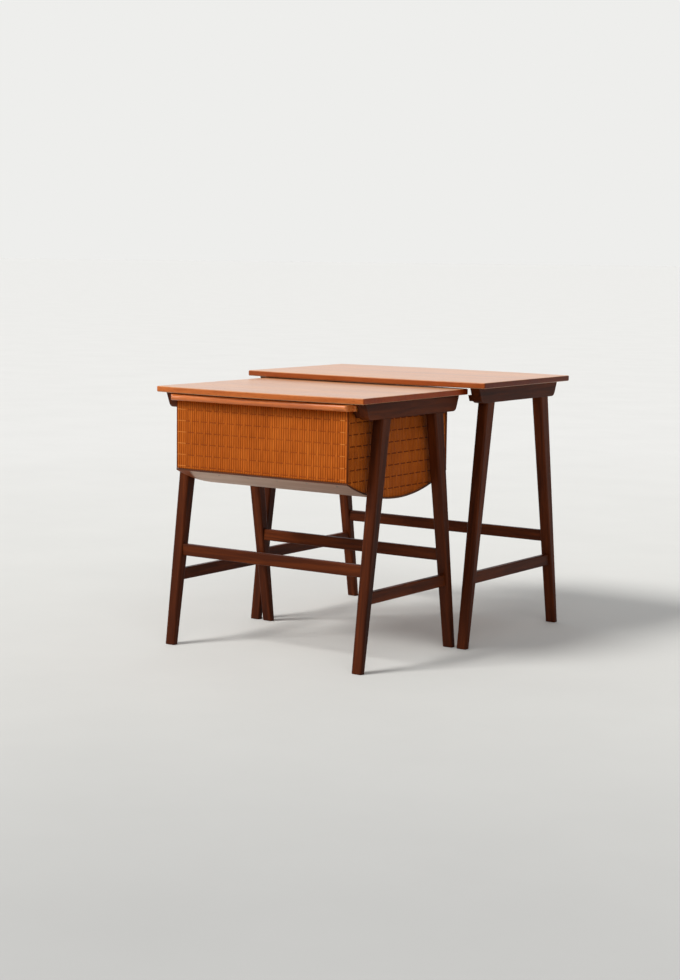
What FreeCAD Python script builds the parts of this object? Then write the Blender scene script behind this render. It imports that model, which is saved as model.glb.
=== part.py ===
import FreeCAD, Part
import math
import os

import Sketcher

# Two nesting tables with a pull-out sewing basket, in millimetres.
# +X runs along the long side of the tops, -Y is the front, +Z is up, and the floor is z = 0.
# The origin is on the floor, below the middle of the whole set as it stands: the small table
# pulled out in front of the large one, the basket pushed in.

doc = FreeCAD.newDocument("nesting_tables")
dims = doc.addObject("Spreadsheet::Sheet", "dims")

DIMENSIONS = (
    # Tops: width and depth are measured between the corners, and the long edges bow out from there.
    ("small_width", 481.3),
    ("small_depth", 360.1),
    ("small_bow", 14.0),
    ("small_height", 506.5),
    ("large_width", 571.1),
    ("large_depth", 340.0),
    ("large_bow", 12.0),
    ("large_height", 520.0),
    ("top_thick", 11.4),
    ("top_round", 2.4),
    # How far in front of the large table the small one stands, centre to centre.
    ("pull_out", 336.8),
    # Aprons under the short edges: their outer faces, thickness and length along the top edge.
    ("small_apron_face", 232.4),
    ("small_apron_thick", 20.0),
    ("small_apron_half", 161.9),
    ("large_apron_face", 265.3),
    ("large_apron_thick", 21.0),
    ("large_apron_half", 156.9),
    ("apron_tall", 30.6),
    ("apron_slope", 12.4),
    ("apron_round", 12.0),
    ("apron_edge", 1.5),
    # Ledges on the inner faces of the aprons, and the slot between a ledge and the top above it.
    ("small_ledge_wide", 9.4),
    ("large_ledge_wide", 7.4),
    ("ledge_tall", 12.0),
    ("ledge_edge", 1.0),
    ("slot_tall", 14.9),
    # Legs: centre of the foot, and how far the leg leans in by the apron's underside.
    ("small_leg_place", 221.2),
    ("small_foot_place", 158.0),
    ("small_lean", 68.0),
    ("large_leg_place", 253.1),
    ("large_foot_place", 179.6),
    ("large_lean", 72.7),
    ("leg_wide", 22.4),
    ("leg_top_deep", 31.0),
    ("leg_foot_deep", 13.6),
    ("leg_round", 4.0),
    ("foot_round", 1.2),
    # Stretchers: section, heights of their centre lines, and the tenons at their ends.
    ("rail_thick", 12.0),
    ("rail_tall", 23.0),
    ("rail_round", 2.5),
    ("side_rail_level", 136.0),
    ("cross_rail_level", 185.5),
    ("tenon_thick", 6.0),
    ("tenon_tall", 14.0),
    ("tenon_long", 9.5),
    ("joint_gap", 0.1),
    # Dowels between the legs and the aprons.
    ("dowel_round", 4.0),
    ("dowel_half", 15.0),
    ("dowel_apart", 14.0),
    # Screws.
    ("screw_head", 3.5),
    ("screw_shank", 1.75),
    ("screw_cone", 1.8),
    ("screw_long", 22.0),
    ("slot_cut", 0.9),
    ("top_screw_sink", 16.0),
    ("top_screw_place", 128.0),
    ("ledge_screw_long", 17.0),
    ("ledge_screw_outer", 137.0),
    ("ledge_screw_inner", 45.0),
    # Basket: outer faces of its walls and the curved bottom below them.
    ("basket_half", 199.6),
    ("basket_front", 169.5),
    ("basket_back", 171.7),
    ("basket_low", 307.5),
    ("basket_sag", 38.6),
    ("wall_thick", 4.5),
    ("ply_thick", 3.0),
    # Top frame of the basket: it slides on the small table's ledges.
    ("frame_lift", 0.4),
    ("frame_thick", 11.0),
    ("grip_half", 205.0),
    ("grip_tall", 12.7),
    ("grip_front", 183.0),
    ("grip_deep", 21.0),
    ("grip_bow", 5.0),
    ("grip_round", 6.0),
    ("runner_out", 211.0),
    ("runner_wide", 22.0),
    ("back_frame_deep", 16.7),
    ("frame_edge", 1.0),
    # Inner corner posts, cross battens and side ribs of the basket.
    ("post_wide", 12.0),
    ("batten_top", 359.0),
    ("rib_thick", 8.0),
    ("tack_long", 9.0),
    ("tack_round", 0.7),
    ("tack_head", 2.0),
    ("tack_head_tall", 0.7),
    ("tack_inset", 6.0),
)

for number, (alias, size) in enumerate(DIMENSIONS, start=1):
    dims.set(f"A{number}", alias)
    dims.set(f"B{number}", str(size))
    dims.setAlias(f"B{number}", alias)
doc.recompute()

# Places that several pieces share, as expressions of the driving dimensions.
SMALL_PLACE = (
    "-(dims.pull_out + dims.large_foot_place + dims.leg_foot_deep / 2"
    " - dims.small_depth / 2 - dims.small_bow) / 2"
)
PLACE = {"small": SMALL_PLACE, "large": f"({SMALL_PLACE} + dims.pull_out)"}
HALF_RAIL = "dims.rail_tall / 2"

nodes = []


def value(expression):
    """The number that an expression of the driving dimensions comes to."""
    return float(dims.evalExpression(expression))


def place(obj, x="0", y="0", z="0"):
    """Puts an object where three expressions say."""
    for axis, expression in zip("xyz", (x, y, z)):
        obj.setExpression(f"Placement.Base.{axis}", expression)
    return obj


def keep(obj, label):
    """Names a finished piece and marks it for export."""
    obj.Label = label
    nodes.append(obj)
    return obj


def new_body(name):
    return doc.addObject("PartDesign::Body", name)


def new_sketch(body, plane, offset="0"):
    """An empty sketch on one of the body's own origin planes, raised along the plane's normal."""
    sketch = body.newObject("Sketcher::SketchObject", f"{body.Name}_sketch")
    support = next(f for f in body.Origin.OriginFeatures if f.Role == plane)
    sketch.AttachmentSupport = [(support, "")]
    sketch.MapMode = "FlatFace"
    sketch.setExpression("AttachmentOffset.Base.z", offset)
    return sketch


def pin_point(sketch, shape, point, x, y):
    """Ties a point of a sketch to the sketch's origin at two expressions."""
    for kind, expression in (("DistanceX", x), ("DistanceY", y)):
        constraint = Sketcher.Constraint(kind, -1, 1, shape, point, value(expression))
        number = sketch.addConstraint(constraint)
        sketch.setExpression(f"Constraints[{number}]", expression)


def draw_outline(sketch, corners, arcs=None):
    """Closed outline through corners given as expressions.
    arcs: number of a side to (radius, direction in which it bulges)."""
    arcs = arcs or {}
    points = [FreeCAD.Vector(value(x), value(y), 0) for x, y in corners]
    ends = []
    for side, start in enumerate(points):
        stop = points[(side + 1) % len(points)]
        if side not in arcs:
            sketch.addGeometry(Part.LineSegment(start, stop), False)
            ends.append((1, 2))
            continue
        radius, bulge = arcs[side]
        half_chord = (stop - start).Length / 2
        sagitta = value(radius) - math.sqrt(value(radius) ** 2 - half_chord**2)
        middle = (start + stop) / 2 + FreeCAD.Vector(*bulge, 0) * sagitta
        turns_left = (middle - start).cross(stop - middle).z > 0
        first, last = (start, stop) if turns_left else (stop, start)
        shape = sketch.addGeometry(Part.Arc(first, middle, last), False)
        number = sketch.addConstraint(Sketcher.Constraint("Radius", shape, value(radius)))
        sketch.setExpression(f"Constraints[{number}]", radius)
        ends.append((1, 2) if turns_left else (2, 1))
    for side, (x, y) in enumerate(corners):
        before = (side - 1) % len(corners)
        joined = Sketcher.Constraint("Coincident", before, ends[before][1], side, ends[side][0])
        sketch.addConstraint(joined)
        pin_point(sketch, side, ends[side][0], x, y)


def draw_circles(sketch, centres, radius):
    for x, y in centres:
        centre = FreeCAD.Vector(value(x), value(y), 0)
        circle = Part.Circle(centre, FreeCAD.Vector(0, 0, 1), value(radius))
        shape = sketch.addGeometry(circle, False)
        number = sketch.addConstraint(Sketcher.Constraint("Radius", shape, value(radius)))
        sketch.setExpression(f"Constraints[{number}]", radius)
        pin_point(sketch, shape, 3, x, y)


def pad(body, sketch, length):
    """Grows the sketch by length, half of it to each side."""
    feature = body.newObject("PartDesign::Pad", f"{body.Name}_pad")
    feature.Profile = sketch
    feature.SideType = "Symmetric"
    feature.setExpression("Length", length)
    return feature


def pocket(body, sketch, length, forward=None):
    """Cuts the sketch through the body for length: along the plane's normal if forward is true,
    against it if it is false, and half to each side if it isn't given."""
    before = body.Shape.Volume
    feature = body.newObject("PartDesign::Pocket", f"{body.Name}_pocket")
    feature.Profile = sketch
    feature.SideType = "Symmetric" if forward is None else "One side"
    feature.Reversed = bool(forward)
    feature.setExpression("Length", length)
    doc.recompute()
    if body.Shape.Volume > before - 1:
        raise RuntimeError(f"{feature.Name} cuts nothing")
    return feature


def edges_where(shape, test):
    return [f"Edge{n}" for n, edge in enumerate(shape.Edges, start=1) if test(edge)]


def round_edges(body, radius, test):
    """Rounds the edges of the body so far that pass the test."""
    doc.recompute()
    base = body.Tip
    names = edges_where(base.Shape, test)
    feature = body.newObject("PartDesign::Fillet", f"{body.Name}_fillet")
    feature.Base = (base, names)
    feature.setExpression("Radius", radius)
    doc.recompute()
    return feature


def bounds_of(edge):
    return edge.BoundBox


def any_edge(edge):
    return True


def runs_along_x(edge):
    box = bounds_of(edge)
    return box.XLength > 1 and box.YLength < 0.01 and box.ZLength < 0.01


def make_box(name, sizes, corner):
    """A plain box by three sizes and its lowest corner, all of them expressions."""
    box = doc.addObject("Part::Box", name)
    for side, expression in zip(("Length", "Width", "Height"), sizes):
        box.setExpression(side, expression)
    return place(box, *corner)


def linked(target, name, x, y, z, turn=None):
    """Another copy of a piece, turned about an axis by an angle in degrees."""
    link = doc.addObject("App::Link", name)
    link.LinkedObject = target
    if turn:
        link.Placement.Rotation = FreeCAD.Rotation(*turn)
    return place(link, x, y, z)


def group(label, members, y="0"):
    """Identical fasteners as one piece of separate solids."""
    compound = doc.addObject("Part::Compound", label)
    compound.Links = members
    return keep(place(compound, y=y), label)


# ---------------------------------------------------------------- shared fasteners


def make_screw(name, length):
    """Slotted countersunk wood screw: the head's flat is at z = 0 and the point is below it."""
    body = new_body(name)
    sketch = new_sketch(body, "XZ_Plane")
    head, shank = "dims.screw_head", "dims.screw_shank"
    corners = [
        ("0", "0"),
        (head, "0"),
        (shank, "-dims.screw_cone"),
        (shank, f"-{length} + 2 * {shank}"),
        ("0.2", f"-{length}"),
        ("0", f"-{length}"),
    ]
    draw_outline(sketch, corners)
    turned = body.newObject("PartDesign::Revolution", f"{name}_turned")
    turned.Profile = sketch
    turned.ReferenceAxis = (sketch, ["V_Axis"])
    turned.Angle = 360
    doc.recompute()
    half = "dims.slot_cut / 2"
    slot = new_sketch(body, "XY_Plane")
    long_half = f"{head} + 1"
    draw_outline(
        slot,
        [
            (f"-({long_half})", f"-{half}"),
            (long_half, f"-{half}"),
            (long_half, half),
            (f"-({long_half})", half),
        ],
    )
    pocket(body, slot, "dims.slot_cut", forward=False)
    return body


def make_tack(name):
    """Flat-headed tack: the head's underside is at z = 0 and the shank points up."""
    head = doc.addObject("Part::Cylinder", f"{name}_head")
    head.setExpression("Radius", "dims.tack_head")
    head.setExpression("Height", "dims.tack_head_tall")
    place(head, z="-dims.tack_head_tall")
    shank = doc.addObject("Part::Cone", f"{name}_shank")
    shank.setExpression("Radius1", "dims.tack_round")
    shank.setExpression("Radius2", "dims.tack_round / 4")
    shank.setExpression("Height", "dims.tack_long")
    tack = doc.addObject("Part::Fuse", name)
    tack.Base = head
    tack.Tool = shank
    return tack


top_screw = make_screw("top_screw", "dims.screw_long")
ledge_screw = make_screw("ledge_screw", "dims.ledge_screw_long")
tack = make_tack("tack")
POINTS_UP = (FreeCAD.Vector(1, 0, 0), 180)
POINTS_OUT = {
    1: (FreeCAD.Vector(0, 1, 0), -90),
    -1: (FreeCAD.Vector(0, 1, 0), 90),
}


# ---------------------------------------------------------------- one table


class Table:
    """Expressions of one table's own dimensions, in its frame: x = y = 0 at its middle."""

    def __init__(self, size):
        self.size = size
        self.place = PLACE[size]
        self.top_under = f"(dims.{size}_height - dims.top_thick)"
        self.apron_under = f"({self.top_under} - dims.apron_tall)"
        self.ledge_top = f"({self.top_under} - dims.slot_tall)"
        self.apron_middle = f"(dims.{size}_apron_face - dims.{size}_apron_thick / 2)"
        self.apron_inner = f"(dims.{size}_apron_face - dims.{size}_apron_thick)"
        self.leg_place = f"dims.{size}_leg_place"
        self.lean = f"(dims.{size}_lean / {self.apron_under})"
        self.grow = f"((dims.leg_top_deep - dims.leg_foot_deep) / {self.apron_under})"

    def leg_middle(self, level):
        """How far in front of or behind the table's middle a leg's centre is at a level."""
        return f"(dims.{self.size}_foot_place - {self.lean} * ({level}))"

    def leg_half(self, level):
        """Half of a leg's depth at a level."""
        return f"((dims.leg_foot_deep + {self.grow} * ({level})) / 2)"

    def end_of_apron(self, level):
        """Half of the apron's length at a level: its ends slope in towards the bottom."""
        slope = "dims.apron_slope / dims.apron_tall"
        return f"(dims.{self.size}_apron_half - {slope} * ({self.top_under} - {level}))"


def top_board(table):
    """Thin board with straight short edges and bowed long ones."""
    size = table.size
    body = new_body(f"{size}_top")
    half_wide, half_deep = f"dims.{size}_width / 2", f"dims.{size}_depth / 2"
    bow = f"dims.{size}_bow"
    radius = f"(({half_wide}) ^ 2 + {bow} ^ 2) / (2 * {bow})"
    sketch = new_sketch(body, "XY_Plane", f"dims.{size}_height - dims.top_thick / 2")
    corners = [
        (f"-{half_wide}", f"-{half_deep}"),
        (half_wide, f"-{half_deep}"),
        (half_wide, half_deep),
        (f"-{half_wide}", half_deep),
    ]
    draw_outline(sketch, corners, {0: (radius, (0, -1)), 2: (radius, (0, 1))})
    pad(body, sketch, "dims.top_thick")
    round_edges(body, "dims.top_round", any_edge)
    pilots = new_sketch(body, "XY_Plane", table.top_under)
    draw_circles(pilots, screw_spots(table), "dims.screw_shank + dims.joint_gap / 2")
    pocket(body, pilots, "dims.screw_long - dims.apron_tall + dims.top_screw_sink + 1", True)
    place(body, y=table.place)
    return keep(body, f"{size}_top")


def screw_spots(table):
    """Where the screws that hold the top go, three to an apron."""
    spots = []
    for side in ("", "-"):
        for y in ("-dims.top_screw_place", "0", "dims.top_screw_place"):
            spots.append((f"{side}{table.apron_middle}", y))
    return spots


def apron(table, side, side_name):
    """Board on edge under a short edge of the top. Its ends slope in and round over below."""
    size = table.size
    label = f"{size}_apron_{side_name}"
    body = new_body(label)
    low, high = table.apron_under, table.top_under
    low_end, high_end = table.end_of_apron(low), table.end_of_apron(high)
    sketch = new_sketch(body, "YZ_Plane")
    corners = [(f"-{low_end}", low), (low_end, low), (high_end, high), (f"-{high_end}", high)]
    draw_outline(sketch, corners)
    thick = f"dims.{size}_apron_thick"
    pad(body, sketch, thick)
    bottom, top = value(low), value(high)
    round_edges(
        body,
        "dims.apron_round",
        lambda edge: runs_along_x(edge) and bounds_of(edge).ZMax < bottom + 0.01,
    )
    face = value(thick) / 2

    def is_arris(edge):
        box = bounds_of(edge)
        on_face = box.XLength < 0.01 and abs(abs(box.XMin) - face) < 0.01
        return on_face and not box.ZMin > top - 0.01

    round_edges(body, "dims.apron_edge", is_arris)
    rows = ("-dims.top_screw_place", "0", "dims.top_screw_place")
    below = new_sketch(body, "XY_Plane")
    draw_circles(below, [("0", y) for y in rows], "dims.screw_head + 0.8")
    pocket(body, below, f"{low} + dims.top_screw_sink + dims.screw_cone", True)
    through = new_sketch(body, "XY_Plane")
    draw_circles(through, [("0", y) for y in rows], "dims.screw_shank + dims.joint_gap")
    pocket(body, through, f"{high} + 1", True)
    sockets = new_sketch(body, "XY_Plane")
    leg_offset = f"{side} * ({table.leg_place} - {table.apron_middle})"
    spots = [(leg_offset, y) for y in dowel_rows(table)]
    draw_circles(sockets, spots, "dims.dowel_round + dims.joint_gap / 2")
    pocket(body, sockets, f"{low} + dims.dowel_half + 0.5", True)
    ledge_holes = new_sketch(body, "YZ_Plane")
    draw_circles(ledge_holes, ledge_screw_spots(table), "dims.screw_shank + dims.joint_gap / 2")
    pocket(body, ledge_holes, thick, forward=side < 0)
    place(body, x=f"{side} * {table.apron_middle}", y=table.place)
    return keep(body, label)


def dowel_rows(table):
    """Where the dowels go along an apron: two to each leg."""
    rows = []
    for end in ("", "-"):
        middle = f"{end}{table.leg_middle(table.apron_under)}"
        for step in ("-", "+"):
            rows.append(f"{middle} {step} dims.dowel_apart / 2")
    return rows


def ledge_screw_spots(table):
    """Where the ledge is screwed to the apron, as y and z."""
    level = f"{table.ledge_top} - dims.ledge_tall / 2"
    rows = ("-dims.ledge_screw_outer", "-dims.ledge_screw_inner")
    rows += ("dims.ledge_screw_inner", "dims.ledge_screw_outer")
    return [(y, level) for y in rows]


def ledge(table, side, side_name):
    """Strip along the inner face of an apron, with the same sloping ends."""
    size = table.size
    label = f"{size}_ledge_{side_name}"
    body = new_body(label)
    high = table.ledge_top
    low = f"({high} - dims.ledge_tall)"
    low_end, high_end = table.end_of_apron(low), table.end_of_apron(high)
    sketch = new_sketch(body, "YZ_Plane")
    corners = [(f"-{low_end}", low), (low_end, low), (high_end, high), (f"-{high_end}", high)]
    draw_outline(sketch, corners)
    wide = f"dims.{size}_ledge_wide"
    pad(body, sketch, wide)
    inner_face = -side * value(wide) / 2

    def is_inner_arris(edge):
        box = bounds_of(edge)
        return box.XLength < 0.01 and abs(box.XMin - inner_face) < 0.01

    round_edges(body, "dims.ledge_edge", is_inner_arris)
    spots = ledge_screw_spots(table)
    holes = new_sketch(body, "YZ_Plane")
    draw_circles(holes, spots, "dims.screw_shank + dims.joint_gap / 2")
    pocket(body, holes, f"{wide} + 1")
    sunk = new_sketch(body, "YZ_Plane", f"{-side} * ({wide} / 2 - dims.screw_cone)")
    draw_circles(sunk, spots, "dims.screw_head + dims.joint_gap / 2")
    pocket(body, sunk, wide, forward=side < 0)
    offset = f"{side} * ({table.apron_inner} - {wide} / 2)"
    place(body, x=offset, y=table.place)
    return keep(body, label)


def leg(table, side, side_name, end, end_name):
    """Tapered leg that leans in towards the apron, cut level at both ends."""
    size = table.size
    label = f"{size}_leg_{end_name}_{side_name}"
    body = new_body(label)
    sketch = new_sketch(body, "YZ_Plane")
    high = table.apron_under
    corners = []
    for level in ("0", high):
        for face in ("-", "+"):
            y = f"{end} * ({table.leg_middle(level)} {face} {table.leg_half(level)})"
            corners.append((y, level))
    corners[2], corners[3] = corners[3], corners[2]
    draw_outline(sketch, corners)
    pad(body, sketch, "dims.leg_wide")
    long_edge = value(high) / 2
    round_edges(body, "dims.leg_round", lambda edge: edge.Length > long_edge)
    round_edges(body, "dims.foot_round", lambda edge: bounds_of(edge).ZMax < 0.01)

    sockets = new_sketch(body, "XY_Plane", f"{high} - dims.dowel_half - 0.5")
    own = [("0", y) for y in dowel_rows(table) if value(y) * end > 0]
    draw_circles(sockets, own, "dims.dowel_round + dims.joint_gap / 2")
    pocket(body, sockets, "dims.dowel_half + 1", True)

    level = "dims.side_rail_level"
    bottom = f"({table.leg_middle(level)} - {table.leg_half(level)} + dims.tenon_long + 0.3)"
    mortise = new_sketch(body, "XZ_Plane", f"{-end} * {bottom}")
    draw_outline(mortise, tenon_section(level))
    pocket(body, mortise, "dims.leg_top_deep", forward=end > 0)

    if size == "small" or end > 0:
        level = "dims.cross_rail_level"
        depth = "dims.leg_wide / 2 - dims.tenon_long - 0.3"
        mortise = new_sketch(body, "YZ_Plane", f"{-side} * ({depth})")
        middle = f"{end} * {table.leg_middle(level)}"
        draw_outline(mortise, tenon_section(level, middle))
        pocket(body, mortise, "dims.leg_wide", forward=side < 0)
    place(body, x=f"{side} * {table.leg_place}", y=table.place)
    return keep(body, label)


def tenon_section(level, middle="0", gap="dims.joint_gap"):
    """Rectangle of a tenon, or of its mortise, across the grain."""
    half_thick = f"(dims.tenon_thick / 2 + {gap})"
    half_tall = f"(dims.tenon_tall / 2 + {gap})"
    return [
        (f"{middle} - {half_thick}", f"{level} - {half_tall}"),
        (f"{middle} + {half_thick}", f"{level} - {half_tall}"),
        (f"{middle} + {half_thick}", f"{level} + {half_tall}"),
        (f"{middle} - {half_thick}", f"{level} + {half_tall}"),
    ]


def is_long_edge(edge):
    return edge.Length > 100


def side_stretcher(table, side, side_name):
    """Low rail between a front and a back leg, its shoulders cut to the legs' slope."""
    size = table.size
    label = f"{size}_side_stretcher_{side_name}"
    body = new_body(label)
    middle = "dims.side_rail_level"
    low, high = f"({middle} - {HALF_RAIL})", f"({middle} + {HALF_RAIL})"

    def shoulder(level):
        return f"({table.leg_middle(level)} - {table.leg_half(level)})"

    sketch = new_sketch(body, "YZ_Plane")
    corners = [
        (f"-{shoulder(low)}", low),
        (shoulder(low), low),
        (shoulder(high), high),
        (f"-{shoulder(high)}", high),
    ]
    draw_outline(sketch, corners)
    pad(body, sketch, "dims.rail_thick")
    round_edges(body, "dims.rail_round", is_long_edge)
    end = f"({shoulder(middle)} + dims.tenon_long)"
    half_tall = "dims.tenon_tall / 2"
    tenon = new_sketch(body, "YZ_Plane")
    draw_outline(
        tenon,
        [
            (f"-{end}", f"{middle} - {half_tall}"),
            (end, f"{middle} - {half_tall}"),
            (end, f"{middle} + {half_tall}"),
            (f"-{end}", f"{middle} + {half_tall}"),
        ],
    )
    pad(body, tenon, "dims.tenon_thick")
    place(body, x=f"{side} * {table.leg_place}", y=table.place)
    return keep(body, label)


def cross_stretcher(table, end, end_name):
    """Rail between the left and the right leg of one end."""
    size = table.size
    label = f"{size}_{end_name}_stretcher"
    body = new_body(label)
    level = "dims.cross_rail_level"
    half_thick = "dims.rail_thick / 2"
    sketch = new_sketch(body, "YZ_Plane")
    corners = [
        (f"-{half_thick}", f"{level} - {HALF_RAIL}"),
        (half_thick, f"{level} - {HALF_RAIL}"),
        (half_thick, f"{level} + {HALF_RAIL}"),
        (f"-{half_thick}", f"{level} + {HALF_RAIL}"),
    ]
    draw_outline(sketch, corners)
    between = f"2 * ({table.leg_place} - dims.leg_wide / 2)"
    pad(body, sketch, between)
    round_edges(body, "dims.rail_round", is_long_edge)
    tenon = new_sketch(body, "YZ_Plane")
    draw_outline(tenon, tenon_section(level, gap="0"))
    pad(body, tenon, f"{between} + 2 * dims.tenon_long")
    place(body, y=f"{table.place} + {end} * {table.leg_middle(level)}")
    return keep(body, label)


def leg_dowels(table):
    """Eight dowels, half in the legs and half in the aprons."""
    members = []
    for side in ("", "-"):
        for y in dowel_rows(table):
            dowel = doc.addObject("Part::Cylinder", f"{table.size}_dowel")
            dowel.setExpression("Radius", "dims.dowel_round")
            dowel.setExpression("Height", "2 * dims.dowel_half")
            place(dowel, f"{side}{table.leg_place}", y, f"{table.apron_under} - dims.dowel_half")
            members.append(dowel)
    return group(f"{table.size}_leg_dowels", members, table.place)


def top_screws(table):
    level = f"{table.apron_under} + dims.top_screw_sink"
    members = [
        linked(top_screw, f"{table.size}_top_screw", x, y, level, POINTS_UP)
        for x, y in screw_spots(table)
    ]
    return group(f"{table.size}_top_screws", members, table.place)


def ledge_screws(table):
    members = []
    head = f"({table.apron_inner} - dims.{table.size}_ledge_wide)"
    for side in (1, -1):
        for y, z in ledge_screw_spots(table):
            name = f"{table.size}_ledge_screw"
            x = f"{side} * {head}"
            members.append(linked(ledge_screw, name, x, y, z, POINTS_OUT[side]))
    return group(f"{table.size}_ledge_screws", members, table.place)


SIDES = ((-1, "left"), (1, "right"))
ENDS = ((-1, "front"), (1, "back"))


def build_table(size, cross_ends):
    table = Table(size)
    top_board(table)
    for side, side_name in SIDES:
        apron(table, side, side_name)
        ledge(table, side, side_name)
        side_stretcher(table, side, side_name)
        for end, end_name in ENDS:
            leg(table, side, side_name, end, end_name)
    for end, end_name in cross_ends:
        cross_stretcher(table, end, end_name)
    leg_dowels(table)
    top_screws(table)
    ledge_screws(table)


# ---------------------------------------------------------------- basket

# In the small table's frame. The bottom is an arc about an axis along X: the plywood's underside
# has the outer radius, and the walls, battens and ribs stand on its upper face.
FRAME_LOW = f"({Table('small').ledge_top} + dims.frame_lift)"
BASKET_HALF_DEEP = "((dims.basket_front + dims.basket_back) / 2)"
BASKET_MIDDLE = "((dims.basket_back - dims.basket_front) / 2)"
OUTER_RADIUS = f"(({BASKET_HALF_DEEP} ^ 2 + dims.basket_sag ^ 2) / (2 * dims.basket_sag))"
INNER_RADIUS = f"({OUTER_RADIUS} - dims.ply_thick)"
ARC_CENTRE = f"(dims.basket_low + {OUTER_RADIUS})"
DOWN = (0, -1)
WALL_INNER = "(dims.basket_half - dims.wall_thick)"
FRONT_FACE, BACK_FACE = "(-dims.basket_front)", "dims.basket_back"
FRONT_INNER = "(dims.wall_thick - dims.basket_front)"
BACK_INNER = "(dims.basket_back - dims.wall_thick)"


def floor_level(y, radius=INNER_RADIUS):
    """Height of the curved bottom at a distance from the table's middle."""
    return f"({ARC_CENTRE} - sqrt({radius} ^ 2 - ({y} - {BASKET_MIDDLE}) ^ 2))"


def basket_slab(label, near, far, top, thick, x="0", curved=False):
    """Upright piece that stands on the curved bottom, from near to far in y and thick in x."""
    body = new_body(label)
    sketch = new_sketch(body, "YZ_Plane")
    corners = [(near, floor_level(near)), (far, floor_level(far)), (far, top), (near, top)]
    draw_outline(sketch, corners, {0: (INNER_RADIUS, DOWN)} if curved else None)
    pad(body, sketch, thick)
    place(body, x=x, y=PLACE["small"])
    return keep(body, label)


def basket_walls():
    whole = "2 * dims.basket_half"
    basket_slab("basket_front_wall", FRONT_FACE, FRONT_INNER, FRAME_LOW, whole)
    basket_slab("basket_back_wall", BACK_INNER, BACK_FACE, FRAME_LOW, whole)
    for side, side_name in SIDES:
        x = f"{side} * (dims.basket_half - dims.wall_thick / 2)"
        name = f"basket_side_wall_{side_name}"
        basket_slab(name, FRONT_INNER, BACK_INNER, FRAME_LOW, "dims.wall_thick", x, curved=True)


def basket_inner_frame():
    """Corner posts, cross battens and curved ribs that the walls and the bottom are fixed to."""
    spans = {
        "front": (FRONT_INNER, f"({FRONT_INNER} + dims.post_wide)"),
        "back": (f"({BACK_INNER} - dims.post_wide)", BACK_INNER),
    }
    between_posts = f"2 * ({WALL_INNER} - dims.post_wide)"
    for end_name, (near, far) in spans.items():
        label = f"basket_cross_batten_{end_name}"
        basket_slab(label, near, far, "dims.batten_top", between_posts)
        for side, side_name in SIDES:
            x = f"{side} * ({WALL_INNER} - dims.post_wide / 2)"
            label = f"basket_post_{end_name}_{side_name}"
            basket_slab(label, near, far, FRAME_LOW, "dims.post_wide", x)
    near, far = spans["front"][1], spans["back"][0]
    for side, side_name in SIDES:
        x = f"{side} * ({WALL_INNER} - dims.rib_thick / 2)"
        name = f"basket_rib_{side_name}"
        basket_slab(name, near, far, "dims.batten_top", "dims.rib_thick", x, curved=True)


def basket_bottom():
    """Thin plywood sheet bent to the arc."""
    body = new_body("basket_bottom")
    sketch = new_sketch(body, "YZ_Plane")
    corners = [
        (FRONT_FACE, floor_level(FRONT_FACE, OUTER_RADIUS)),
        (BACK_FACE, floor_level(BACK_FACE, OUTER_RADIUS)),
        (BACK_FACE, floor_level(BACK_FACE)),
        (FRONT_FACE, floor_level(FRONT_FACE)),
    ]
    draw_outline(sketch, corners, {0: (OUTER_RADIUS, DOWN), 2: (INNER_RADIUS, DOWN)})
    pad(body, sketch, "2 * dims.basket_half")
    place(body, y=PLACE["small"])
    return keep(body, "basket_bottom")


def basket_grip():
    """Front rail of the basket's top frame: its front face bows out a little and is rounded."""
    body = new_body("basket_front_rail")
    half, bow = "dims.grip_half", "dims.grip_bow"
    radius = f"(({half} ^ 2 + {bow} ^ 2) / (2 * {bow}))"
    front, back = "-dims.grip_front", "(dims.grip_deep - dims.grip_front)"
    sketch = new_sketch(body, "XY_Plane", f"{FRAME_LOW} + dims.grip_tall / 2")
    corners = [(f"-{half}", front), (half, front), (half, back), (f"-{half}", back)]
    draw_outline(sketch, corners, {0: (radius, (0, -1))})
    pad(body, sketch, "dims.grip_tall")
    front_limit = value(front) + 0.01
    round_edges(body, "dims.grip_round", lambda edge: bounds_of(edge).YMax < front_limit)
    place(body, y=PLACE["small"])
    return keep(body, "basket_front_rail")


def framed_strip(label, sizes, corner):
    """Straight strip of the basket's top frame with lightly rounded edges."""
    rough = make_box(f"{label}_rough", sizes, corner)
    doc.recompute()
    rounded = doc.addObject("Part::Fillet", label)
    rounded.Base = rough
    edge_round = value("dims.frame_edge")
    rounded.Edges = [(n, edge_round, edge_round) for n in range(1, 13)]
    place(rounded, y=PLACE["small"])
    return keep(rounded, label)


def basket_top_frame():
    basket_grip()
    front = "(dims.grip_deep - dims.grip_front)"
    back = "(dims.basket_back - dims.back_frame_deep)"
    for side, side_name in SIDES:
        low_x = "dims.runner_out - dims.runner_wide" if side > 0 else "-dims.runner_out"
        framed_strip(
            f"basket_runner_{side_name}",
            ("dims.runner_wide", f"{back} - {front}", "dims.frame_thick"),
            (low_x, front, FRAME_LOW),
        )
    framed_strip(
        "basket_back_rail",
        ("2 * dims.runner_out", "dims.back_frame_deep", "dims.frame_thick"),
        ("-dims.runner_out", back, FRAME_LOW),
    )


def basket_tacks():
    """Tacks up through the bottom into the cross battens."""
    columns, members = 6, []
    rows = (f"{FRONT_INNER} + dims.tack_inset", f"{BACK_INNER} - dims.tack_inset")
    reach = f"({WALL_INNER} - dims.post_wide - 2 * dims.tack_inset)"
    for y in rows:
        level = f"{floor_level(y, OUTER_RADIUS)} + 0.2"
        for column in range(columns):
            share = 2 * column / (columns - 1) - 1
            members.append(linked(tack, "basket_tack", f"{share} * {reach}", y, level))
    return group("basket_bottom_tacks", members, PLACE["small"])


def build_basket():
    basket_top_frame()
    basket_walls()
    basket_inner_frame()
    basket_bottom()
    basket_tacks()


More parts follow.
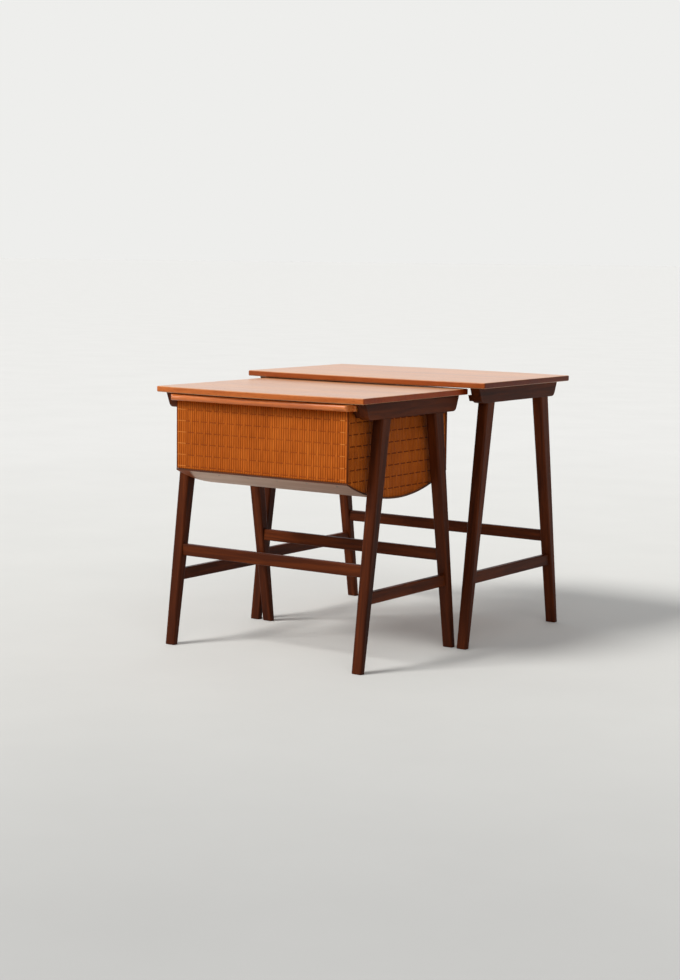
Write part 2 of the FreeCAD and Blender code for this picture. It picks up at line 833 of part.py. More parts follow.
# ---------------------------------------------------------------- build, check, export

build_table("large", ENDS[1:])
build_table("small", ENDS)
build_basket()
doc.recompute()

for obj in doc.Objects:
    if "Invalid" in obj.State or "Error" in obj.State:
        raise RuntimeError(f"{obj.Name} failed: {obj.State}")

os.makedirs("parts", exist_ok=True)
for node in nodes:
    if node.Shape.isNull() or not node.Shape.isValid():
        raise RuntimeError(f"{node.Label} has no valid shape")
    node.Shape.exportStep(f"parts/{node.Label}.step")
    print(f"{node.Label}: {len(node.Shape.Solids)} solid, {node.Shape.Volume / 1000:.1f} cm3")
print(f"{len(nodes)} nodes")
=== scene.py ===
import math
import random

import bpy
from mathutils import Matrix, Vector


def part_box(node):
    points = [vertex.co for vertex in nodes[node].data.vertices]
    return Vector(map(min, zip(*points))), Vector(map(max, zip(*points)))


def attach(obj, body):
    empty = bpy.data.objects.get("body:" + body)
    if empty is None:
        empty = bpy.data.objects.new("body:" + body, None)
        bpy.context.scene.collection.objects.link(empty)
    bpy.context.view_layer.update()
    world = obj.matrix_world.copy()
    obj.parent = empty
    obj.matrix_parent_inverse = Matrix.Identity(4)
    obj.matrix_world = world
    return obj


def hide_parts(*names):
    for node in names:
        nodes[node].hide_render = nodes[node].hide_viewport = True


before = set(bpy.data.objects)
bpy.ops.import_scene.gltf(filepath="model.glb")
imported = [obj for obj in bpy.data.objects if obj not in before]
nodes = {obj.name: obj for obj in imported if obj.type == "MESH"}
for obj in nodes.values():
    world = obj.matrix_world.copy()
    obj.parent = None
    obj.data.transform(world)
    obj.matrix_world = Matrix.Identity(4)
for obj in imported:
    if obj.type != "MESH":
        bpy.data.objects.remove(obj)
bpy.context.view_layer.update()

scene = bpy.context.scene
MM = 0.001
X, Y, Z = (1, 0, 0), (0, 1, 0), (0, 0, 1)
WHITE, BLACK = (1, 1, 1, 1), (0, 0, 0, 1)


# Colours and node graphs


def tint(red, green, blue):
    """Scene-linear colour of a display colour given from 0 to 255."""

    def linear(level):
        level /= 255
        return level / 12.92 if level <= 0.04045 else ((level + 0.055) / 1.055) ** 2.4

    return (linear(red), linear(green), linear(blue), 1.0)


class Graph:
    """A material's node tree, built from short calls."""

    def __init__(self, name):
        self.material = bpy.data.materials.new(name)
        self.material.use_nodes = True
        self.tree = self.material.node_tree
        self.shader = self.tree.nodes["Principled BSDF"]
        coordinates = self.add("ShaderNodeTexCoord")
        self.place = coordinates.outputs["Object"]
        self.normal = coordinates.outputs["Normal"]

    def add(self, kind, values=None, **settings):
        node = self.tree.nodes.new(kind)
        for key, setting in settings.items():
            setattr(node, key, setting)
        for key, value in (values or {}).items():
            node.inputs[key].default_value = value
        return node

    def feed(self, source, socket):
        """Links source to the socket, or sets it as the socket's constant."""
        if isinstance(source, bpy.types.NodeSocket):
            self.tree.links.new(source, socket)
        else:
            socket.default_value = source

    def mapped(self, source, turn=(0, 0, 0), stretch=(1, 1, 1)):
        """Coordinates turned into the grain's own axes, then divided by stretch."""
        node = self.add("ShaderNodeMapping", vector_type="TEXTURE")
        node.inputs["Rotation"].default_value = turn
        node.inputs["Scale"].default_value = stretch
        self.feed(source, node.inputs["Vector"])
        return node.outputs["Vector"]

    def noise(self, source, scale, detail=2.0, roughness=0.5, distortion=0.0):
        node = self.add(
            "ShaderNodeTexNoise",
            {"Scale": scale, "Detail": detail, "Roughness": roughness, "Distortion": distortion},
        )
        self.feed(source, node.inputs["Vector"])
        return node.outputs["Fac"]

    def ramp(self, source, *stops):
        """Colour ramp through (position, colour) stops."""
        node = self.add("ShaderNodeValToRGB")
        marks = node.color_ramp.elements
        while len(marks) < len(stops):
            marks.new(0.5)
        for mark, (position, colour) in zip(marks, stops):
            mark.position = position
            mark.color = colour
        self.feed(source, node.inputs["Fac"])
        return node.outputs["Color"]

    def spread(self, source, low, high, start=0.3, end=0.7):
        """Value of source from start to end, spread over low to high."""
        node = self.add("ShaderNodeMapRange")
        for key, value in zip(("From Min", "From Max", "To Min", "To Max"), (start, end, low, high)):
            node.inputs[key].default_value = value
        self.feed(source, node.inputs["Value"])
        return node.outputs["Result"]

    def mix(self, factor, first, second, blend="MIX"):
        """Mix of two colours; factor, first and second are sockets or constants."""
        node = self.add("ShaderNodeMix", data_type="RGBA", blend_type=blend)
        for number, source in ((0, factor), (6, first), (7, second)):
            self.feed(source, node.inputs[number])
        return node.outputs[2]

    def multiplied(self, share, colour, factor):
        """The colour, multiplied by factor as far as share says."""
        return self.mix(share, colour, self.mix(1.0, colour, factor, "MULTIPLY"))

    def math(self, operation, first, second=0.0):
        node = self.add("ShaderNodeMath", operation=operation)
        self.feed(first, node.inputs[0])
        self.feed(second, node.inputs[1])
        return node.outputs[0]

    def vector_math(self, operation, first, second, output="Vector"):
        node = self.add("ShaderNodeVectorMath", operation=operation)
        self.feed(first, node.inputs[0])
        self.feed(second, node.inputs[1])
        return node.outputs[output]

    def separate(self, source):
        """The X, Y and Z of a vector."""
        node = self.add("ShaderNodeSeparateXYZ")
        self.feed(source, node.inputs[0])
        return node.outputs

    def edges(self, radius):
        """0 on flat faces, rising to 1 along outer edges."""
        bevel = self.add("ShaderNodeBevel", {"Radius": radius}, samples=4)
        surface = self.add("ShaderNodeNewGeometry")
        normals = (bevel.outputs["Normal"], surface.outputs["Normal"])
        return self.spread(self.vector_math("DOT_PRODUCT", *normals, "Value"), 1.0, 0.0, 0.86, 0.99)

    def bump(self, height, depth, strength=1.0):
        node = self.add("ShaderNodeBump", {"Strength": strength, "Distance": depth})
        self.feed(height, node.inputs["Height"])
        self.feed(node.outputs["Normal"], self.shader.inputs["Normal"])

    def finish(self, colour, rough, specular=0.5):
        self.feed(colour, self.shader.inputs["Base Color"])
        self.feed(rough, self.shader.inputs["Roughness"])
        self.feed(specular, self.shader.inputs["Specular IOR Level"])
        return self.material


# Wood

WORN_EDGE = 1.6 * MM
GRAIN_DEPTH = 0.05 * MM
# The large top's front edge lies this much further back at its ends than in its middle.
LARGE_BOW = 12 * MM
# Painted shade: the small top is darkened, with less sheen, where the large top covers it at rest,
# fading out over this distance in front of that edge.
COVERED_SHADE_FADE = 16 * MM
COVERED_SHADE_TINT = (0.46, 0.33, 0.25, 1)


def grain_turn(along):
    """Rotation whose x axis runs along the grain."""
    return Vector(along).to_track_quat("X", "Z").to_euler()


def wood(name, along, tones, worn, seed, figure=20.0, stretch=14.0, gloss=(0.3, 0.42), specular=0.5,
         pores=0.5, wear=0.4, sides=None, ends=None, covered=None):
    """Oiled or stained wood: figure, fibres and pores along the grain, and paler worn edges.

    tones are the dark, middle and light colours. sides and ends, if given, tint the upright
    faces and those at the ends of a board whose grain runs along x: partly the wood's darker edges and
    end grain, partly painted shade. covered, if given, makes from the graph a socket that is 1 where
    another board covers this one, and there the colour takes painted shade.
    """
    graph = Graph(name)
    place = graph.vector_math("ADD", graph.place, (seed, 0.37 * seed, 0.71 * seed))
    turn = grain_turn(along)
    long_place = graph.mapped(place, turn, (stretch, 1, 1))
    clouds = graph.noise(long_place, figure, 4.0, 0.6, 0.6)
    bands = graph.noise(long_place, 5.5 * figure, 3.0, 0.55, 1.1)
    fibres = graph.noise(graph.mapped(place, turn, (stretch * 2.5, 1, 1)), 850.0, 3.0, 0.65)
    pore_field = graph.noise(graph.mapped(place, turn, (stretch * 1.6, 1, 1)), 1500.0, 1.0, 0.4)
    dark, middle, light = tones
    colour = graph.ramp(graph.mix(0.5, clouds, bands), (0.34, dark), (0.5, middle), (0.66, light))
    streaks = graph.ramp(fibres, (0.3, (0.78, 0.74, 0.7, 1)), (0.62, WHITE))
    colour = graph.mix(0.7, colour, streaks, "MULTIPLY")
    open_pores = graph.ramp(pore_field, (0.3, WHITE), (0.38, BLACK))
    deep = tuple(0.35 * c for c in dark[:3]) + (1.0,)
    colour = graph.mix(graph.math("MULTIPLY", open_pores, pores), colour, deep)
    # The side and end tints are partly the wood's darker edges and end grain and partly painted shade;
    # upright faces also get less sheen.
    if sides:
        facing = graph.separate(graph.normal)
        upright = graph.spread(graph.math("ABSOLUTE", facing["Z"]), 1.0, 0.0, 0.3, 0.8)
        colour = graph.multiplied(upright, colour, sides)
        endwise = graph.spread(graph.math("ABSOLUTE", facing["X"]), 0.0, 1.0, 0.5, 0.8)
        colour = graph.multiplied(endwise, colour, ends)
        specular = graph.spread(upright, specular, 0.3 * specular, 0.0, 1.0)
    # Painted shade where another board covers this one: darker colour and less sheen.
    if covered:
        share = covered(graph)
        colour = graph.multiplied(share, colour, COVERED_SHADE_TINT)
        specular = graph.math("MULTIPLY", specular, graph.spread(share, 1.0, 0.1, 0.0, 1.0))
    rubbed = graph.math("MULTIPLY", graph.edges(WORN_EDGE), graph.spread(clouds, 0.25, 1.0))
    colour = graph.mix(graph.math("MULTIPLY", rubbed, wear), colour, worn)
    height = graph.math("SUBTRACT", graph.math("MULTIPLY", fibres, 0.4), open_pores)
    graph.bump(height, GRAIN_DEPTH, 0.7)
    rough = graph.spread(graph.mix(0.5, fibres, clouds), *gloss)
    return graph.finish(colour, rough, specular)


def shade_under_large_top(graph):
    """Mask of the painted shade under the large top: 1 where it covers the small one at rest, falling to
    0 just in front of its edge.
    """
    low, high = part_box("large_top")
    place = graph.separate(graph.place)
    across = graph.math("POWER", graph.math("DIVIDE", place["X"], high.x), 2.0)
    behind = graph.math("SUBTRACT", place["Y"], graph.math("MULTIPLY", across, LARGE_BOW))
    return graph.spread(behind, 0.0, 1.0, low.y - COVERED_SHADE_FADE, low.y + 1 * MM)


def teak_top(name, seed):
    # The tops' side and end tints are partly the teak's darker edges and end grain and partly painted
    # shade, darker on the large top's front edge and ends.
    if name == "teak_large_top":
        tones = (tint(182, 118, 72), tint(204, 142, 92), tint(216, 158, 108))
        tinted = {"sides": (0.54, 0.26, 0.12, 1), "ends": (0.4, 0.26, 0.14, 1)}
    else:
        tones = (tint(182, 121, 77), tint(205, 146, 98), tint(218, 162, 115))
        tinted = {"sides": (0.78, 0.43, 0.21, 1), "ends": (0.62, 0.35, 0.13, 1),
                  "covered": shade_under_large_top}
    return wood(name, X, tones, tint(212, 140, 88), seed, figure=16.0, stretch=18.0,
                gloss=(0.28, 0.38), **tinted)


def teak(name, along, seed):
    tones = (tint(180, 90, 34), tint(206, 112, 46), tint(222, 132, 62))
    return wood(name, along, tones, tint(218, 144, 86), seed, stretch=16.0, gloss=(0.32, 0.42))


def dark_wood(name, along, seed):
    tones = (tint(51, 20, 7), tint(76, 32, 10), tint(104, 47, 15))
    return wood(name, along, tones, tint(112, 56, 22), seed, figure=15.0, stretch=16.0,
                gloss=(0.38, 0.48), specular=0.08, pores=0.3, wear=0.3)


def beech(name, along, seed):
    tones = (tint(168, 122, 80), tint(190, 146, 100), tint(205, 164, 118))
    return wood(name, along, tones, tint(214, 178, 136), seed, figure=26.0, stretch=12.0,
                gloss=(0.45, 0.6), specular=0.35, pores=0.3, wear=0.3)


# The sheet's brown corner, painted shade with the nearby leg's reflected colour: how far its border
# steps back along x for each step along y, its length along x and the width of its border. The rest of
# the sheet takes painted shade, darkening slowly to the right from the start given below.
CORNER_SLANT = 0.55
CORNER_LENGTH, CORNER_BORDER = 31 * MM, 6 * MM
SHADE_START = 60 * MM


def plywood():
    """Bent sheet: a grey-brown face veneer with painted shade to the right and, with the leg's reflected
    colour, in one corner, and dark edges.
    """
    graph = Graph("plywood_bent")
    figure = graph.noise(graph.mapped(graph.place, stretch=(16, 1, 1)), 60.0, 5.0, 0.65, 0.8)
    fibres = graph.noise(graph.mapped(graph.place, stretch=(30, 1, 1)), 900.0, 3.0, 0.6)
    tones = (tint(178, 148, 129), tint(196, 166, 147), tint(210, 182, 163))
    face = graph.ramp(figure, *zip((0.3, 0.52, 0.75), tones))
    streaks = graph.ramp(fibres, (0.3, (0.8, 0.78, 0.76, 1)), (0.62, WHITE))
    face = graph.mix(0.7, face, streaks, "MULTIPLY")
    low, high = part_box("basket_bottom")
    reach = graph.vector_math("DOT_PRODUCT", graph.place, (1.0, CORNER_SLANT, 0.0), "Value")
    corner = low.x + CORNER_SLANT * low.y
    border = corner + CORNER_LENGTH
    # Painted shade and the leg's reflected colour in the corner by the front-left leg.
    corner_shade = graph.spread(reach, 1.0, 0.0, border, border + CORNER_BORDER)
    face = graph.mix(corner_shade, face, tint(126, 60, 22))
    # Painted shade, growing towards the right.
    right_shade = graph.spread(reach, 0.0, 0.85, corner + SHADE_START, corner + high.x - low.x)
    face = graph.multiplied(right_shade, face, (0.5, 0.38, 0.32, 1))
    plies = graph.noise(graph.mapped(graph.place, stretch=(60, 60, 1)), 1100.0, 1.0)
    edge = graph.ramp(plies, (0.35, tint(60, 30, 14)), (0.65, tint(92, 48, 24)))
    upright = graph.math("ABSOLUTE", graph.separate(graph.normal)["Z"])
    colour = graph.mix(graph.spread(upright, 0.0, 1.0, 0.6, 0.75), edge, face)
    graph.bump(graph.math("ADD", fibres, figure), 0.08 * MM, 0.7)
    return graph.finish(colour, graph.spread(fibres, 0.5, 0.66), 0.25)


def steel():
    graph = Graph("steel_screw")
    brushed = graph.noise(graph.place, 2500.0, 3.0)
    colour = graph.ramp(brushed, (0.3, tint(120, 118, 114)), (0.7, tint(168, 166, 160)))
    graph.shader.inputs["Metallic"].default_value = 1.0
    graph.bump(brushed, 0.02 * MM, 0.5)
    return graph.finish(colour, graph.spread(brushed, 0.3, 0.5))


def splint(name, across, tones, pitch, start=0.0, grooves=0.0):
    """Flat cane: each splint takes its own tone, with fibres along it and painted shade in the grooves.

    start is where the first splint begins, and grooves how strong the painted groove shade is.
    """
    graph = Graph(name)
    per_pitch = tuple(c / pitch for c in across)
    along_wall = graph.vector_math("DOT_PRODUCT", graph.place, per_pitch, "Value")
    count = graph.math("SUBTRACT", along_wall, start / pitch)
    chance = graph.add("ShaderNodeTexWhiteNoise", noise_dimensions="1D")
    graph.feed(graph.math("FLOOR", count), chance.inputs["W"])
    drift = graph.noise(graph.place, 14.0, 3.0, 0.6)
    fibres = graph.noise(graph.mapped(graph.place, stretch=(1, 1, 34)), 1300.0, 3.0, 0.6)
    blotches = graph.noise(graph.mapped(graph.place, stretch=(1, 1, 5)), 240.0, 3.0, 0.6)
    tone = graph.mix(0.35, graph.mix(0.78, chance.outputs["Value"], drift), blotches)
    colour = graph.ramp(tone, *zip((0.28, 0.5, 0.74), tones))
    streaks = graph.ramp(fibres, (0.32, (0.74, 0.66, 0.58, 1)), (0.6, WHITE))
    colour = graph.mix(0.6, colour, streaks, "MULTIPLY")
    # Painted shade in the grooves between splints.
    groove_shade = graph.spread(graph.math("PINGPONG", count, 0.5), grooves, 0.0, 0.06, 0.24)
    colour = graph.multiplied(groove_shade, colour, (0.4, 0.3, 0.25, 1))
    graph.bump(fibres, 0.1 * MM, 0.7)
    return graph.finish(colour, graph.spread(blotches, 0.42, 0.56), 0.06)


# Carried-over CAD nodes

# A leg's grain leans by this share of the leg's extent along y.
LEAN_SHARE = 0.72


def leg_axis(name):
    """Direction of a leg's grain, which leans in from the foot."""
    size, _, end, _ = name.split("_")
    low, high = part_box(f"{size}_leg_{end}_left")
    inward = 1 if end == "front" else -1
    return (0.0, inward * LEAN_SHARE * (high.y - low.y), high.z - low.z)


steel_finish, plywood_finish = steel(), plywood()
SEEDS = random.Random(11)


def finish_for(name):
    """Material of a carried-over CAD node, with the grain along the piece."""
    seed = SEEDS.uniform(0.5, 9.0)
    if "screws" in name or "tacks" in name:
        return steel_finish
    if name == "basket_bottom":
        return plywood_finish
    if name.endswith("_top"):
        return teak_top(f"teak_{name}", seed)
    if name in ("basket_front_rail", "basket_back_rail"):
        return teak(f"teak_{name}", X, seed)
    if "runner" in name:
        return teak(f"teak_{name}", Y, seed)
    if "_leg_dowels" in name or "basket_post" in name:
        return beech(f"beech_{name}", Z, seed)
    if "batten" in name:
        return beech(f"beech_{name}", X, seed)
    if "rib" in name:
        return beech(f"beech_{name}", Y, seed)
    if "_leg_" in name:
        return dark_wood(f"wood_{name}", leg_axis(name), seed)
    if name.split("_")[1] in ("front", "back"):
        return dark_wood(f"wood_{name}", X, seed)
    return dark_wood(f"wood_{name}", Y, seed)


WALLS = ("basket_front_wall", "basket_back_wall", "basket_side_wall_left", "basket_side_wall_right")
for name in sorted(nodes):
    if name in WALLS:
        continue
    finish = finish_for(name)
    nodes[name].data.materials.clear()
    nodes[name].data.materials.append(finish)


# Woven walls of the basket

SPLINT_PITCH = 5.3 * MM
# Half of a splint's width, as a share of the pitch.
SPLINT_HALF = 0.465
ROW_STEP = 21.7 * MM
FRONT_ROW, SIDE_ROW = 463.5 * MM, 458.5 * MM
# From the wall's outer face to the middle of the weave, and how far splints and strands swing.
WEAVE_DEPTH = 1.5 * MM
SPLINT_SWING, STRAND_SWING = 0.45 * MM, 0.42 * MM
# A splint bends within this reach of a strand, through these shares of the reach and the swing.
DIP_REACH = 3.2 * MM
BEND = ((-1, 0), (-0.5, 0.5), (0, 1), (0.5, 0.5), (1, 0))
# Height above the wall's lower edge that a row, a strand and a bend need.
ROW_CLEAR, STRAND_CLEAR, BEND_CLEAR = 3 * MM, 2.5 * MM, 1.5 * MM
# A splint's lowest ring is sorted in at this height above its foot, and then follows the floor.
SPLINT_FOOT = 0.5 * MM
# Between a wall's end and its first splint; a darker lath covers it, laps onto the splint and
# stands back from the wall's face.
EDGE_GAP = 1.1 * MM
LATH_LAP, LATH_SETBACK = 0.6 * MM, 0.5 * MM
# Across a splint in half widths, and out from the middle of the weave in millimetres.
SPLINT_SECTION = [
    (-1.0, -0.1), (-0.82, 0.3), (-0.35, 0.5), (0.35, 0.5), (0.82, 0.3), (1.0, -0.1), (1.0, -0.6),
    (1.1, -1.0), (1.1, -2.3), (0.75, -2.85), (-0.75, -2.85), (-1.1, -2.3), (-1.1, -1.0), (-1.0, -0.6),
]
# Points of that section further in than this don't swing.
STILL_DEPTH = -0.9
# Up a strand and out from its middle, in millimetres.
STRAND_SECTION = [
    (-0.85, 0.1), (-0.45, 0.32), (0.45, 0.32), (0.85, 0.1),
    (0.85, -0.1), (0.45, -0.32), (-0.45, -0.32), (-0.85, -0.1),
]
# Rings of a strand for each splint.
STRAND_SAMPLES = 4
# A wall's materials, by their number: the strand's colour carries painted shade, and the pale strand is
# its painted lit copy.
SPLINT, STRAND, LIT_STRAND, LATH = range(4)


def tube(points_of_ring, rings):
    """Vertices and faces of a closed skin over equal rings."""
    vertices = [point for ring in rings for point in ring]
    faces = []
    for ring in range(len(rings) - 1):
        near = ring * points_of_ring
        far = near + points_of_ring
        for k in range(points_of_ring):
            after = (k + 1) % points_of_ring
            faces.append((near + k, near + after, far + after, far + k))
    last = (len(rings) - 1) * points_of_ring
    faces.append(tuple(reversed(range(points_of_ring))))
    faces.append(tuple(range(last, last + points_of_ring)))
    return vertices, faces


def mesh_piece(name, parts, finishes, body):
    """One object from (vertices, faces, material index) parts, riding on body."""
    vertices, faces, kinds = [], [], []
    for part_vertices, part_faces, kind in parts:
        start = len(vertices)
        vertices += part_vertices
        faces += [tuple(start + k for k in face) for face in part_faces]
        kinds += [kind] * len(part_faces)
    mesh = bpy.data.meshes.new(name)
    mesh.from_pydata([tuple(v) for v in vertices], [], faces)
    mesh.polygons.foreach_set("material_index", kinds)
    mesh.polygons.foreach_set("use_smooth", [len(face) == 4 for face in faces])
    for finish in finishes:
        mesh.materials.append(finish)
    mesh.update()
    piece = bpy.data.objects.new(name, mesh)
    scene.collection.objects.link(piece)
    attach(piece, body)
    return piece


def strand_runs(last, height, floor):
    """Stretches of a level strand, as lists of sample numbers, where it clears the floor."""
    runs, run = [], []
    for k in range(last + 1):
        if height - floor(k) > STRAND_CLEAR:
            run.append(k)
        elif run:
            runs.append(run)
            run = []
    return [r for r in runs + [run] if len(r) > 2]


def weave(node, name, across, outward, floor, row_top, edge_gap, ticks, finishes):
    """A wall of upright splints over and under level strands.

    floor(u) is the height of the wall's lower edge at u along the wall. ticks holds the splints,
    counted from each end, where the strand lies outside the weave in its pale colour, a painted lit copy
    of the strand.
    """
    low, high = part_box(node)
    across, outward = Vector(across), Vector(outward)
    inner, face = sorted((low.dot(outward), high.dot(outward)))
    wall_start, wall_end = sorted((low.dot(across), high.dot(across)))
    first, last = wall_start + edge_gap, wall_end - edge_gap
    count = round((last - first) / SPLINT_PITCH)
    pitch = (last - first) / count
    middle = face - WEAVE_DEPTH
    rows = []
    while row_top - len(rows) * ROW_STEP > low.z + ROW_CLEAR:
        rows.append(row_top - len(rows) * ROW_STEP)
    chance = random.Random(len(name))

    def is_tick(column):
        return column in ticks[0] or count - 1 - column in ticks[1]

    def is_over(column, row):
        """True where the strand of that row passes outside the splint."""
        column = min(max(column, 0), count - 1)
        return is_tick(column) or (column + 2 * row) % 4 != 0

    def spot(u, z, out):
        """Point at u along the wall and z up, out from the middle of the weave."""
        return across * u + outward * (middle + out) + Vector((0, 0, z))

    parts = []
    for column in range(count):
        centre = first + (column + 0.5) * pitch
        half = SPLINT_HALF * pitch * chance.uniform(0.97, 1.0)
        bottom = floor(centre)
        levels = {bottom + SPLINT_FOOT: 0.0, high.z: 0.0}
        for row, height in enumerate(rows):
            push = -SPLINT_SWING if is_over(column, row) else SPLINT_SWING
            for share, weight in BEND:
                if height + share * DIP_REACH > bottom + BEND_CLEAR:
                    levels[height + share * DIP_REACH] = push * weight
        rings = []
        for number, z in enumerate(sorted(levels)):
            ring = []
            for side, lift in SPLINT_SECTION:
                u = centre + side * half
                out = levels[z] if lift > STILL_DEPTH else 0.0
                ring.append(spot(u, floor(u) if number == 0 else z, out + lift * MM))
            rings.append(ring)
        parts.append((*tube(len(SPLINT_SECTION), rings), SPLINT))
    step = pitch / STRAND_SAMPLES
    for row, height in enumerate(rows):
        for run in strand_runs(count * STRAND_SAMPLES, height, lambda k: floor(first + k * step)):
            rings, kinds = [], []
            for k in run:
                column, phase = divmod(k, STRAND_SAMPLES)
                here, before = is_over(column, row), is_over(column - 1, row)
                out = STRAND_SWING * ((here + before) - 1 if phase == 0 else 2 * here - 1)
                u = first + k * step
                rings.append([spot(u, height + up * MM, out + lift * MM) for up, lift in STRAND_SECTION])
                # The pale strand is a painted lit copy of the strand.
                kinds.append(LIT_STRAND if is_tick(min(column, count - 1)) else STRAND)
            start = 0
            for k in range(1, len(run)):
                if kinds[k] != kinds[start] or k == len(run) - 1:
                    parts.append((*tube(len(STRAND_SECTION), rings[start:k + 1]), kinds[start]))
                    start = k
    outer = face - LATH_SETBACK
    for end, into in ((wall_start, 1), (wall_end, -1)) if edge_gap else ():
        near, far = sorted((end, end + into * (edge_gap + LATH_LAP)))
        corners = ((near, outer), (far, outer), (far, inner), (near, inner))
        rings = [
            [across * u + outward * depth + Vector((0, 0, level(u))) for u, depth in corners]
            for level in (floor, lambda u: high.z)
        ]
        parts.append((*tube(len(corners), rings), LATH))
    if across.cross(Vector(Z)).dot(outward) < 0:
        parts = [(v, [tuple(reversed(f)) for f in fs], kind) for v, fs, kind in parts]
    piece = mesh_piece(name, parts, finishes, "basket")
    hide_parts(node)


side_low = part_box("basket_side_wall_right")[0]
front_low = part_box("basket_front_wall")[0]
back_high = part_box("basket_back_wall")[1]
ARC_MIDDLE = (front_low.y + back_high.y) / 2
ARC_HALF = (back_high.y - front_low.y) / 2
edge_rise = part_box("basket_bottom")[1].z - side_low.z
ARC_RADIUS = (ARC_HALF ** 2 + edge_rise ** 2) / (2 * edge_rise)


def arc_floor(y):
    """Top of the bent bottom at y."""
    return side_low.z + ARC_RADIUS - math.sqrt(ARC_RADIUS ** 2 - (y - ARC_MIDDLE) ** 2)


CANE = (tint(160, 77, 19), tint(180, 91, 26), tint(199, 108, 36))
# Strand tones: darkened with painted shade where the strands dip between splints, darker still on the
# side walls, and a pale painted lit copy for the ticks near the corners.
SHADED_STRAND_FRONT = (tint(112, 50, 14), tint(146, 68, 18), tint(182, 92, 26))
SHADED_STRAND_SIDE = (tint(84, 34, 8), tint(104, 44, 12), tint(128, 58, 16))
LIT_STRAND_TONES = (tint(190, 104, 40), tint(200, 118, 50), tint(214, 136, 64))
DARK_LATH_TONES = (tint(100, 46, 14), tint(118, 56, 18), tint(136, 66, 24))
# Strands and laths have no grooves, and their tone changes every half metre of height.
shaded_strand_front = splint("cane_strand_front", Z, SHADED_STRAND_FRONT, 0.5)
shaded_strand_side = splint("cane_strand_side", Z, SHADED_STRAND_SIDE, 0.5)
lit_strand = splint("cane_strand_pale", Z, LIT_STRAND_TONES, 0.5)
dark_lath = splint("cane_binding", Z, DARK_LATH_TONES, 0.5)
for side_name, across, outward in (("front", X, (0, -1, 0)), ("back", X, (0, 1, 0)),
                                   ("left", Y, (-1, 0, 0)), ("right", Y, (1, 0, 0))):
    long_wall = across == X
    node = f"basket_{side_name}_wall" if long_wall else f"basket_side_wall_{side_name}"
    gap = EDGE_GAP if long_wall else 0.0
    low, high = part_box(node)
    start = low.dot(Vector(across)) + gap
    length = (high - low).dot(Vector(across)) - 2 * gap
    cane = splint(f"cane_{side_name}", across, CANE, length / round(length / SPLINT_PITCH), start, 0.5)
    if long_wall:
        edge = front_low.y if side_name == "front" else back_high.y
        weave(node, f"basket_weave_{side_name}", across, outward, lambda u, edge=edge: arc_floor(edge),
              FRONT_ROW, gap, (range(0, 4), range(1, 3)), (cane, shaded_strand_front, lit_strand, dark_lath))
    else:
        weave(node, f"basket_weave_{side_name}", across, outward, arc_floor, SIDE_ROW, gap,
              ((), ()), (cane, shaded_strand_side, lit_strand, dark_lath))


# Floor, light and camera

YAW, PITCH, ROLL = 0.6078, 0.1213, 0.012
FLOOR_SIZE, FLOOR_LEVEL = 400.0, -0.2 * MM
# Painted shade: the floor pales with the distance, in metres, from a place on it in front of the tables.
DARKEST_AWAY = 2.2
PALING_START, PALING_END = 0.2, 6.2
FLOOR_SHADE_TONES = (
    (0.06, tint(191, 191, 189)),
    (0.23, tint(209, 209, 206)),
    (0.5, tint(218, 218, 215)),
    (1.0, tint(224, 224, 222)),
)
# The camera's x and z, how far it stands in front of the small top's middle, and its lens.
CAMERA_X, CAMERA_Z = 2.16736, 0.76044
CAMERA_AWAY = 3.0198
LENS, SENSOR_WIDTH = 70.845, 36.0


def shaded_floor_paint():
    """Pale matt paint, with painted shade making it a little darker towards the front."""
    graph = Graph("shaded_floor_paint")
    darkest = (DARKEST_AWAY * math.sin(YAW), -DARKEST_AWAY * math.cos(YAW), 0)
    reach = graph.vector_math("DISTANCE", graph.place, darkest, "Value")
    colour = graph.ramp(graph.spread(reach, 0.0, 1.0, PALING_START, PALING_END), *FLOOR_SHADE_TONES)
    worn = graph.noise(graph.place, 3.0, 4.0, 0.6)
    brushed = graph.ramp(worn, (0.3, (0.97, 0.97, 0.97, 1)), (0.7, WHITE))
    colour = graph.mix(1.0, colour, brushed, "MULTIPLY")
    return graph.finish(colour, graph.spread(worn, 0.7, 0.8), 0.0)


half = FLOOR_SIZE / 2
corners = [(x, y, FLOOR_LEVEL) for x, y in ((-half, -half), (half, -half), (half, half), (-half, half))]
floor_mesh = bpy.data.meshes.new("floor")
floor_mesh.from_pydata(corners, [], [(0, 1, 2, 3)])
floor_mesh.materials.append(shaded_floor_paint())
floor_sheet = bpy.data.objects.new("floor", floor_mesh)
scene.collection.objects.link(floor_sheet)


def sun(name, towards, strength, angle, colour):
    """Soft light from the direction of towards, seen from the object."""
    lamp = bpy.data.lights.new(name, "SUN")
    lamp.energy, lamp.angle, lamp.color = strength, math.radians(angle), colour
    lamp_object = bpy.data.objects.new(name, lamp)
    lamp_object.rotation_euler = Vector(towards).to_track_quat("Z", "Y").to_euler()
    scene.collection.objects.link(lamp_object)


sun("key_light", (-0.35, -0.62, 0.72), 2.55, 20, (1.0, 0.985, 0.96))
sun("fill_light", (0.75, -0.75, 0.8), 0.5, 36, (1.0, 0.99, 0.97))

world = bpy.data.worlds.new("studio")
world.use_nodes = True
sky = world.node_tree
seen = sky.nodes["Background"]
seen.inputs["Color"].default_value = tint(238, 238, 236)
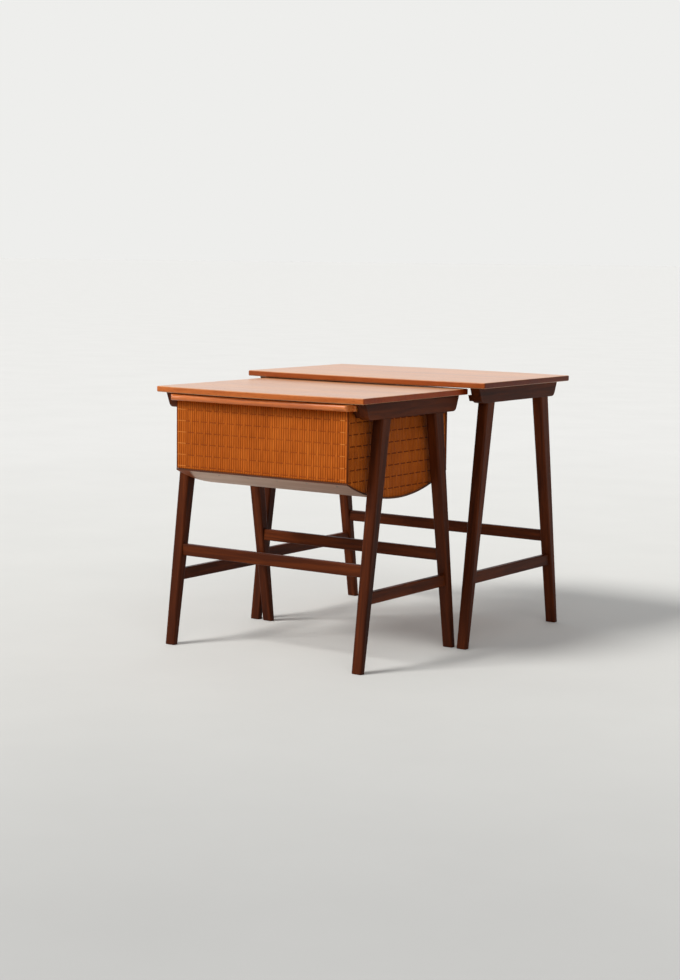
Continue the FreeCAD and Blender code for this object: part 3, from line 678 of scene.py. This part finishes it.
# Around the object the studio is dim, with a broad soft light from the front left and a pale wall
# behind: for each, where it is, the cosines over which it fades in, and its two strengths.
direction = sky.nodes.new("ShaderNodeTexCoord")
total = sky.nodes.new("ShaderNodeMath")
for number, (towards, start, end, low, high) in enumerate((
    ((-0.42, -0.62, 0.66), -0.1, 0.8, 0.2, 0.55),
    ((-math.sin(YAW), math.cos(YAW), 0), 0.5, 0.9, 0.0, 0.95),
)):
    facing = sky.nodes.new("ShaderNodeVectorMath")
    facing.operation = "DOT_PRODUCT"
    facing.inputs[1].default_value = towards
    sky.links.new(direction.outputs["Generated"], facing.inputs[0])
    strength = sky.nodes.new("ShaderNodeMapRange")
    for key, value in (("From Min", start), ("From Max", end), ("To Min", low), ("To Max", high)):
        strength.inputs[key].default_value = value
    sky.links.new(facing.outputs["Value"], strength.inputs["Value"])
    sky.links.new(strength.outputs["Result"], total.inputs[number])
studio = sky.nodes.new("ShaderNodeBackground")
studio.inputs["Color"].default_value = (0.97, 0.98, 1.0, 1.0)
sky.links.new(total.outputs[0], studio.inputs["Strength"])
path = sky.nodes.new("ShaderNodeLightPath")
blend = sky.nodes.new("ShaderNodeMixShader")
sky.links.new(path.outputs["Is Camera Ray"], blend.inputs[0])
sky.links.new(studio.outputs[0], blend.inputs[1])
sky.links.new(seen.outputs[0], blend.inputs[2])
sky.links.new(blend.outputs[0], sky.nodes["World Output"].inputs["Surface"])
scene.world = world
scene.view_settings.view_transform = "Standard"

top_low, top_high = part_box("small_top")
camera_at = Vector((CAMERA_X, (top_low.y + top_high.y) / 2 - CAMERA_AWAY, CAMERA_Z))
forward = Vector((-math.sin(YAW) * math.cos(PITCH), math.cos(YAW) * math.cos(PITCH), -math.sin(PITCH)))
level = Vector((math.cos(YAW), math.sin(YAW), 0))
rise = level.cross(forward)
right = level * math.cos(ROLL) + rise * math.sin(ROLL)
up = rise * math.cos(ROLL) - level * math.sin(ROLL)
lens = bpy.data.cameras.new("camera")
lens.lens, lens.sensor_width, lens.clip_end = LENS, SENSOR_WIDTH, FLOOR_SIZE / 2
camera = bpy.data.objects.new("camera", lens)
turn = Matrix((right, up, -forward)).transposed().to_4x4()
camera.matrix_world = Matrix.Translation(camera_at) @ turn
scene.collection.objects.link(camera)
scene.camera = camera
